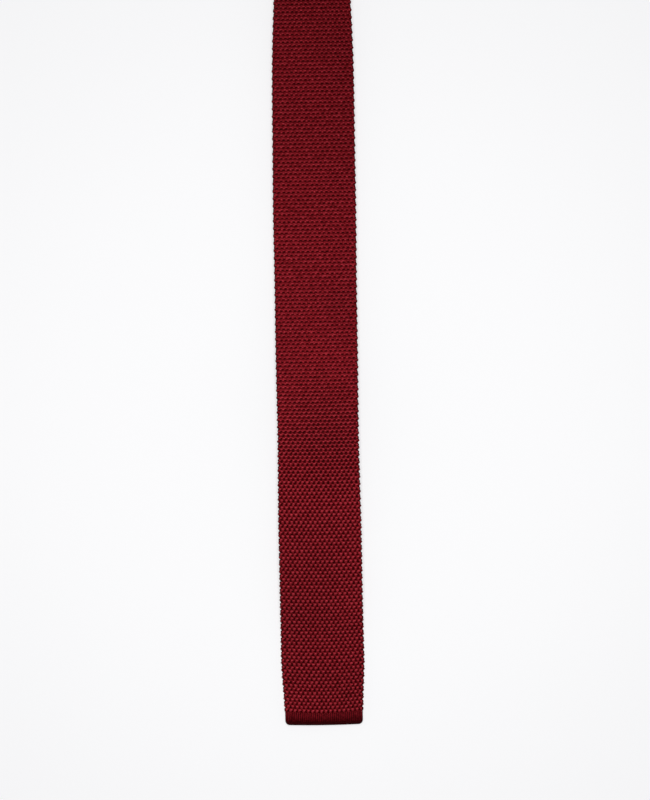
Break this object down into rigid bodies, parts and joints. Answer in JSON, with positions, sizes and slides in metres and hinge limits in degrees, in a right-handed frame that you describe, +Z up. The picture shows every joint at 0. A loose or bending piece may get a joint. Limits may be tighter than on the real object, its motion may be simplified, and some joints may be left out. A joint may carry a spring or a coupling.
{
  "type": "necktie",
  "caption": "Square-end knitted necktie folded once at the neck and laid flat, with a staggered raised stitch, plain hems, a back seam, a keeper loop and blank labels.",
  "frame": {"origin": "on the surface the tie lies on, under the middle of its bounding box", "axes": "+Z up out of the front blade's face, +Y along the tie from the front end to the neck fold, +X across the blade"},
  "size_m": [0.0576, 0.78, 0.008],
  "materials": {
    "knit": "staggered tuck-stitch silk knit, satin yarn",
    "hem": "fine plain jersey knit",
    "neckband": "finer tuck-stitch silk knit",
    "lining": "brushed woven lining strip",
    "tape": "narrow woven stay tape",
    "thread": "twisted sewing thread",
    "linking": "linked knit seam",
    "loop": "ribbed grosgrain band",
    "label": "satin-woven blank label",
    "care": "satin tape, blank"
  },
  "bodies": {
    "tail": {"neckband_tail_half": "neckband", "tail_blade": "knit", "tail_end_hem": "hem", "lining_tail": "lining", "neck_tape_tail_half": "tape", "back_seam_tail": "thread", "join_seam_tail": "linking", "bar_tack_tail": "thread"},
    "front_upper": {"front_blade_upper": "knit", "neckband_front_half": "neckband", "lining_front_upper": "lining", "neck_tape_front_half": "tape", "back_seam_front_upper": "thread", "join_seam_front": "linking"},
    "front_lower": {"front_end_hem": "hem", "front_blade_lower": "knit", "lining_front_lower": "lining", "back_seam_front_lower": "thread", "bar_tack_front": "thread", "keeper_loop": "loop", "keeper_loop_tack_left": "thread", "keeper_loop_tack_right": "thread", "label": "label", "label_tacks": "thread", "care_label": "care", "care_label_stitches": "thread"}
  },
  "joints": [
    {"name": "neck_fold", "type": "hinge", "parent": "tail", "child": "front_upper", "pos_m": [0, 0.39, 0.004], "axis": [-1, 0, 0], "range_deg": [0, 180]},
    {"name": "front_blade_bend", "type": "hinge", "parent": "front_upper", "child": "front_lower", "pos_m": [0, -0.08, 0.0083], "axis": [-1, 0, 0], "range_deg": [0, 160]}
  ]
}
